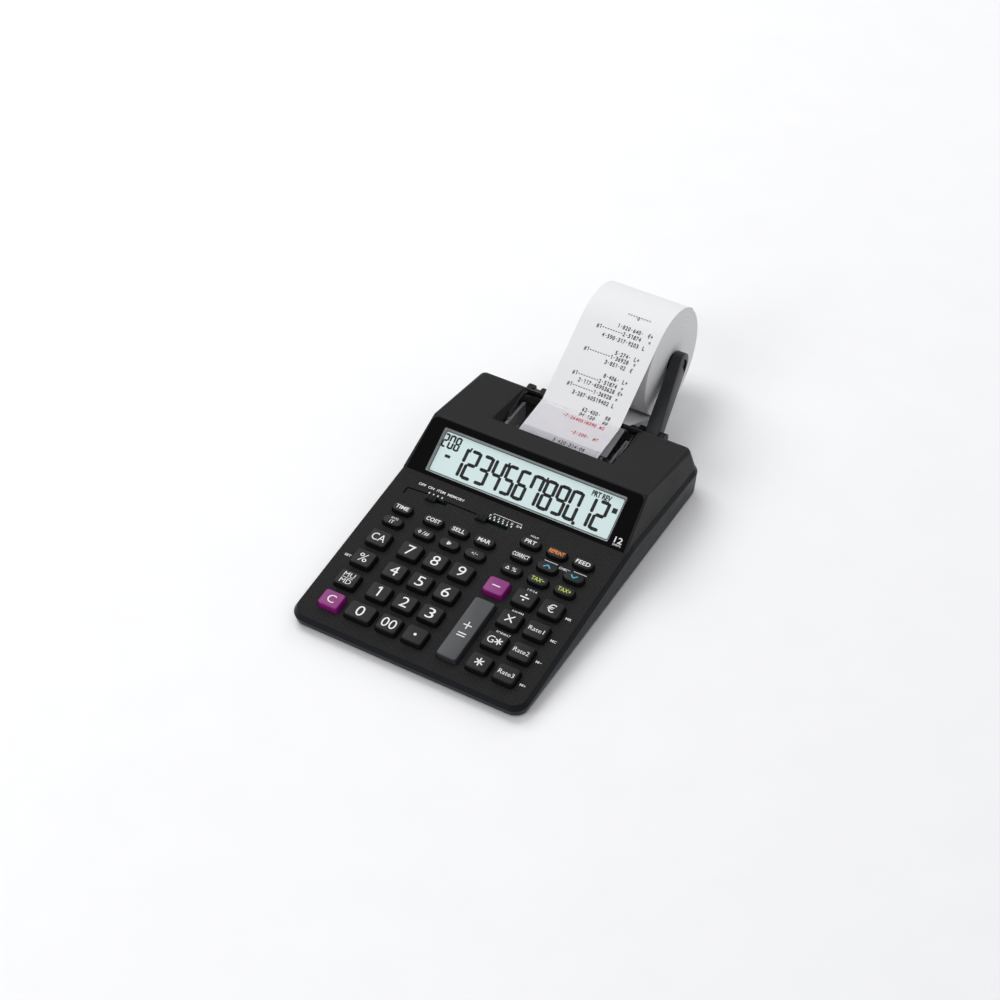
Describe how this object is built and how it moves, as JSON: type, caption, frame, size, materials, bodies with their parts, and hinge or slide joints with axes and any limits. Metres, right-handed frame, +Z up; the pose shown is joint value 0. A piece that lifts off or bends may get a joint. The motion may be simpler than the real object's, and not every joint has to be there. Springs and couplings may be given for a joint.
{
  "type": "printing desk calculator",
  "caption": "Desk calculator with a sloped display, a full keyboard, a built-in roller printer and a paper roll held on two fold-up arms.",
  "frame": {"origin": "on the desk surface, under the middle of the whole object with its paper roll", "axes": "+X to the user's right, +Y to the back, +Z up"},
  "size_m": [0.165, 0.3324, 0.079],
  "materials": {
    "case_plastic": "fine matt texture, charcoal",
    "base_plastic": "satin, bluish charcoal",
    "panel_gloss": "black gloss",
    "lcd_glass": "pale grey-green display",
    "silicone": "translucent grey silicone",
    "circuit_board": "green solder mask",
    "steel_sheet": "plain",
    "roller_rubber": "ground matt rubber",
    "carriage_plastic": "dark blue-black",
    "smoked_plastic": "smoked, see-through",
    "arm_plastic": "satin black",
    "paper": "uncoated white",
    "screw_steel": "zinc plated",
    "key_charcoal": "satin charcoal",
    "key_grey": "satin mid grey",
    "key_purple": "satin purple",
    "knob_black": "satin black"
  },
  "bodies": {
    "case": {"bottom_case": "base_plastic", "top_case": "case_plastic", "display_window": "panel_gloss", "lcd_module": "lcd_glass", "key_mat": "silicone", "main_board": "circuit_board", "printer_chassis": "steel_sheet", "paper_cover": "smoked_plastic", "paper_strip": "paper", "case_screws": "screw_steel"},
    "feed_roller": {"feed_roller": "roller_rubber"},
    "print_carriage": {"print_carriage": "carriage_plastic"},
    "roll_holder": {"roll_holder": "arm_plastic"},
    "paper_roll": {"paper_roll": "paper"},
    "battery_cover": {"battery_cover": "base_plastic"},
    "power_selector": {"power_selector": "knob_black"},
    "rounding_selector": {"rounding_selector": "knob_black"},
    "key_clear": {"key_clear": "key_purple"},
    "key_markup": {"key_markup": "key_charcoal"},
    "key_percent": {"key_percent": "key_charcoal"},
    "key_clear_all": {"key_clear_all": "key_charcoal"},
    "key_0": {"key_0": "key_charcoal"},
    "key_1": {"key_1": "key_charcoal"},
    "key_4": {"key_4": "key_charcoal"},
    "key_7": {"key_7": "key_charcoal"},
    "key_00": {"key_00": "key_charcoal"},
    "key_2": {"key_2": "key_charcoal"},
    "key_5": {"key_5": "key_charcoal"},
    "key_8": {"key_8": "key_charcoal"},
    "key_point": {"key_point": "key_charcoal"},
    "key_3": {"key_3": "key_charcoal"},
    "key_6": {"key_6": "key_charcoal"},
    "key_9": {"key_9": "key_charcoal"},
    "key_plus_equals": {"key_plus_equals": "key_grey"},
    "key_minus": {"key_minus": "key_purple"},
    "key_total": {"key_total": "key_charcoal"},
    "key_grand_total": {"key_grand_total": "key_charcoal"},
    "key_multiply": {"key_multiply": "key_charcoal"},
    "key_divide": {"key_divide": "key_charcoal"},
    "key_rate_3": {"key_rate_3": "key_charcoal"},
    "key_rate_2": {"key_rate_2": "key_charcoal"},
    "key_rate_1": {"key_rate_1": "key_charcoal"},
    "key_euro": {"key_euro": "key_charcoal"},
    "key_item_count": {"key_item_count": "key_charcoal"},
    "key_subtotal": {"key_subtotal": "key_charcoal"},
    "key_backspace": {"key_backspace": "key_charcoal"},
    "key_sign": {"key_sign": "key_charcoal"},
    "key_time": {"key_time": "key_charcoal"},
    "key_cost": {"key_cost": "key_charcoal"},
    "key_sell": {"key_sell": "key_charcoal"},
    "key_margin": {"key_margin": "key_charcoal"},
    "key_change_percent": {"key_change_percent": "key_charcoal"},
    "key_correct": {"key_correct": "key_charcoal"},
    "key_print": {"key_print": "key_charcoal"},
    "key_tax_minus": {"key_tax_minus": "key_charcoal"},
    "key_check_back": {"key_check_back": "key_charcoal"},
    "key_reprint": {"key_reprint": "key_charcoal"},
    "key_tax_plus": {"key_tax_plus": "key_charcoal"},
    "key_check_next": {"key_check_next": "key_charcoal"},
    "key_feed": {"key_feed": "key_charcoal"}
  },
  "joints": [
    {"name": "roll_holder_fold", "type": "hinge", "parent": "case", "child": "roll_holder", "pos_m": [0, 0.07625, 0.021], "axis": [1, 0, 0], "range_deg": [0, 60], "deforming": ["paper_strip"]},
    {"name": "paper_roll_spin", "type": "hinge", "parent": "roll_holder", "child": "paper_roll", "pos_m": [0, 0.12825, 0.0404], "axis": [1, 0, 0], "continuous": true},
    {"name": "feed_roller_spin", "type": "hinge", "parent": "case", "child": "feed_roller", "pos_m": [0, 0.02575, 0.0302], "axis": [1, 0, 0], "continuous": true},
    {"name": "print_carriage_slide", "type": "slide", "parent": "case", "child": "print_carriage", "axis": [1, 0, 0], "range_m": [-0.024, 0.024]},
    {"name": "battery_cover_slide", "type": "slide", "parent": "case", "child": "battery_cover", "axis": [0, -1, 0], "range_m": [0, 0.0055]},
    {"name": "power_selector_slide", "type": "slide", "parent": "case", "child": "power_selector", "axis": [1, 0, 0], "range_m": [0, 0.009]},
    {"name": "rounding_selector_slide", "type": "slide", "parent": "case", "child": "rounding_selector", "axis": [1, 0, 0], "range_m": [0, 0.0165]},
    {"name": "key_clear_press", "type": "slide", "parent": "case", "child": "key_clear", "axis": [0, 0.1175, -0.9931], "range_m": [0, 0.0015], "stiffness_N_per_m": 300, "springref_m": -0.0004},
    {"name": "key_markup_press", "type": "slide", "parent": "case", "child": "key_markup", "axis": [0, 0.1175, -0.9931], "range_m": [0, 0.0015], "stiffness_N_per_m": 300, "springref_m": -0.0004},
    {"name": "key_percent_press", "type": "slide", "parent": "case", "child": "key_percent", "axis": [0, 0.1175, -0.9931], "range_m": [0, 0.0015], "stiffness_N_per_m": 300, "springref_m": -0.0004},
    {"name": "key_clear_all_press", "type": "slide", "parent": "case", "child": "key_clear_all", "axis": [0, 0.1175, -0.9931], "range_m": [0, 0.0015], "stiffness_N_per_m": 300, "springref_m": -0.0004},
    {"name": "key_0_press", "type": "slide", "parent": "case", "child": "key_0", "axis": [0, 0.1175, -0.9931], "range_m": [0, 0.0015], "stiffness_N_per_m": 300, "springref_m": -0.0004},
    {"name": "key_1_press", "type": "slide", "parent": "case", "child": "key_1", "axis": [0, 0.1175, -0.9931], "range_m": [0, 0.0015], "stiffness_N_per_m": 300, "springref_m": -0.0004},
    {"name": "key_4_press", "type": "slide", "parent": "case", "child": "key_4", "axis": [0, 0.1175, -0.9931], "range_m": [0, 0.0015], "stiffness_N_per_m": 300, "springref_m": -0.0004},
    {"name": "key_7_press", "type": "slide", "parent": "case", "child": "key_7", "axis": [0, 0.1175, -0.9931], "range_m": [0, 0.0015], "stiffness_N_per_m": 300, "springref_m": -0.0004},
    {"name": "key_00_press", "type": "slide", "parent": "case", "child": "key_00", "axis": [0, 0.1175, -0.9931], "range_m": [0, 0.0015], "stiffness_N_per_m": 300, "springref_m": -0.0004},
    {"name": "key_2_press", "type": "slide", "parent": "case", "child": "key_2", "axis": [0, 0.1175, -0.9931], "range_m": [0, 0.0015], "stiffness_N_per_m": 300, "springref_m": -0.0004},
    {"name": "key_5_press", "type": "slide", "parent": "case", "child": "key_5", "axis": [0, 0.1175, -0.9931], "range_m": [0, 0.0015], "stiffness_N_per_m": 300, "springref_m": -0.0004},
    {"name": "key_8_press", "type": "slide", "parent": "case", "child": "key_8", "axis": [0, 0.1175, -0.9931], "range_m": [0, 0.0015], "stiffness_N_per_m": 300, "springref_m": -0.0004},
    {"name": "key_point_press", "type": "slide", "parent": "case", "child": "key_point", "axis": [0, 0.1175, -0.9931], "range_m": [0, 0.0015], "stiffness_N_per_m": 300, "springref_m": -0.0004},
    {"name": "key_3_press", "type": "slide", "parent": "case", "child": "key_3", "axis": [0, 0.1175, -0.9931], "range_m": [0, 0.0015], "stiffness_N_per_m": 300, "springref_m": -0.0004},
    {"name": "key_6_press", "type": "slide", "parent": "case", "child": "key_6", "axis": [0, 0.1175, -0.9931], "range_m": [0, 0.0015], "stiffness_N_per_m": 300, "springref_m": -0.0004},
    {"name": "key_9_press", "type": "slide", "parent": "case", "child": "key_9", "axis": [0, 0.1175, -0.9931], "range_m": [0, 0.0015], "stiffness_N_per_m": 300, "springref_m": -0.0004},
    {"name": "key_plus_equals_press", "type": "slide", "parent": "case", "child": "key_plus_equals", "axis": [0, 0.1175, -0.9931], "range_m": [0, 0.0015], "stiffness_N_per_m": 300, "springref_m": -0.0004},
    {"name": "key_minus_press", "type": "slide", "parent": "case", "child": "key_minus", "axis": [0, 0.1175, -0.9931], "range_m": [0, 0.0015], "stiffness_N_per_m": 300, "springref_m": -0.0004},
    {"name": "key_total_press", "type": "slide", "parent": "case", "child": "key_total", "axis": [0, 0.1175, -0.9931], "range_m": [0, 0.0015], "stiffness_N_per_m": 300, "springref_m": -0.0004},
    {"name": "key_grand_total_press", "type": "slide", "parent": "case", "child": "key_grand_total", "axis": [0, 0.1175, -0.9931], "range_m": [0, 0.0015], "stiffness_N_per_m": 300, "springref_m": -0.0004},
    {"name": "key_multiply_press", "type": "slide", "parent": "case", "child": "key_multiply", "axis": [0, 0.1175, -0.9931], "range_m": [0, 0.0015], "stiffness_N_per_m": 300, "springref_m": -0.0004},
    {"name": "key_divide_press", "type": "slide", "parent": "case", "child": "key_divide", "axis": [0, 0.1175, -0.9931], "range_m": [0, 0.0015], "stiffness_N_per_m": 300, "springref_m": -0.0004},
    {"name": "key_rate_3_press", "type": "slide", "parent": "case", "child": "key_rate_3", "axis": [0, 0.1175, -0.9931], "range_m": [0, 0.0015], "stiffness_N_per_m": 300, "springref_m": -0.0004},
    {"name": "key_rate_2_press", "type": "slide", "parent": "case", "child": "key_rate_2", "axis": [0, 0.1175, -0.9931], "range_m": [0, 0.0015], "stiffness_N_per_m": 300, "springref_m": -0.0004},
    {"name": "key_rate_1_press", "type": "slide", "parent": "case", "child": "key_rate_1", "axis": [0, 0.1175, -0.9931], "range_m": [0, 0.0015], "stiffness_N_per_m": 300, "springref_m": -0.0004},
    {"name": "key_euro_press", "type": "slide", "parent": "case", "child": "key_euro", "axis": [0, 0.1175, -0.9931], "range_m": [0, 0.0015], "stiffness_N_per_m": 300, "springref_m": -0.0004},
    {"name": "key_item_count_press", "type": "slide", "parent": "case", "child": "key_item_count", "axis": [0, 0.1175, -0.9931], "range_m": [0, 0.0015], "stiffness_N_per_m": 300, "springref_m": -0.0004},
    {"name": "key_subtotal_press", "type": "slide", "parent": "case", "child": "key_subtotal", "axis": [0, 0.1175, -0.9931], "range_m": [0, 0.0015], "stiffness_N_per_m": 300, "springref_m": -0.0004},
    {"name": "key_backspace_press", "type": "slide", "parent": "case", "child": "key_backspace", "axis": [0, 0.1175, -0.9931], "range_m": [0, 0.0015], "stiffness_N_per_m": 300, "springref_m": -0.0004},
    {"name": "key_sign_press", "type": "slide", "parent": "case", "child": "key_sign", "axis": [0, 0.1175, -0.9931], "range_m": [0, 0.0015], "stiffness_N_per_m": 300, "springref_m": -0.0004},
    {"name": "key_time_press", "type": "slide", "parent": "case", "child": "key_time", "axis": [0, 0.1175, -0.9931], "range_m": [0, 0.0015], "stiffness_N_per_m": 300, "springref_m": -0.0004},
    {"name": "key_cost_press", "type": "slide", "parent": "case", "child": "key_cost", "axis": [0, 0.1175, -0.9931], "range_m": [0, 0.0015], "stiffness_N_per_m": 300, "springref_m": -0.0004},
    {"name": "key_sell_press", "type": "slide", "parent": "case", "child": "key_sell", "axis": [0, 0.1175, -0.9931], "range_m": [0, 0.0015], "stiffness_N_per_m": 300, "springref_m": -0.0004},
    {"name": "key_margin_press", "type": "slide", "parent": "case", "child": "key_margin", "axis": [0, 0.1175, -0.9931], "range_m": [0, 0.0015], "stiffness_N_per_m": 300, "springref_m": -0.0004},
    {"name": "key_change_percent_press", "type": "slide", "parent": "case", "child": "key_change_percent", "axis": [0, 0.1175, -0.9931], "range_m": [0, 0.0015], "stiffness_N_per_m": 300, "springref_m": -0.0004},
    {"name": "key_correct_press", "type": "slide", "parent": "case", "child": "key_correct", "axis": [0, 0.1175, -0.9931], "range_m": [0, 0.0015], "stiffness_N_per_m": 300, "springref_m": -0.0004},
    {"name": "key_print_press", "type": "slide", "parent": "case", "child": "key_print", "axis": [0, 0.1175, -0.9931], "range_m": [0, 0.0015], "stiffness_N_per_m": 300, "springref_m": -0.0004},
    {"name": "key_tax_minus_press", "type": "slide", "parent": "case", "child": "key_tax_minus", "axis": [0, 0.1175, -0.9931], "range_m": [0, 0.0015], "stiffness_N_per_m": 300, "springref_m": -0.0004},
    {"name": "key_check_back_press", "type": "slide", "parent": "case", "child": "key_check_back", "axis": [0, 0.1175, -0.9931], "range_m": [0, 0.0015], "stiffness_N_per_m": 300, "springref_m": -0.0004},
    {"name": "key_reprint_press", "type": "slide", "parent": "case", "child": "key_reprint", "axis": [0, 0.1175, -0.9931], "range_m": [0, 0.0015], "stiffness_N_per_m": 300, "springref_m": -0.0004},
    {"name": "key_tax_plus_press", "type": "slide", "parent": "case", "child": "key_tax_plus", "axis": [0, 0.1175, -0.9931], "range_m": [0, 0.0015], "stiffness_N_per_m": 300, "springref_m": -0.0004},
    {"name": "key_check_next_press", "type": "slide", "parent": "case", "child": "key_check_next", "axis": [0, 0.1175, -0.9931], "range_m": [0, 0.0015], "stiffness_N_per_m": 300, "springref_m": -0.0004},
    {"name": "key_feed_press", "type": "slide", "parent": "case", "child": "key_feed", "axis": [0, 0.1175, -0.9931], "range_m": [0, 0.0015], "stiffness_N_per_m": 300, "springref_m": -0.0004}
  ]
}
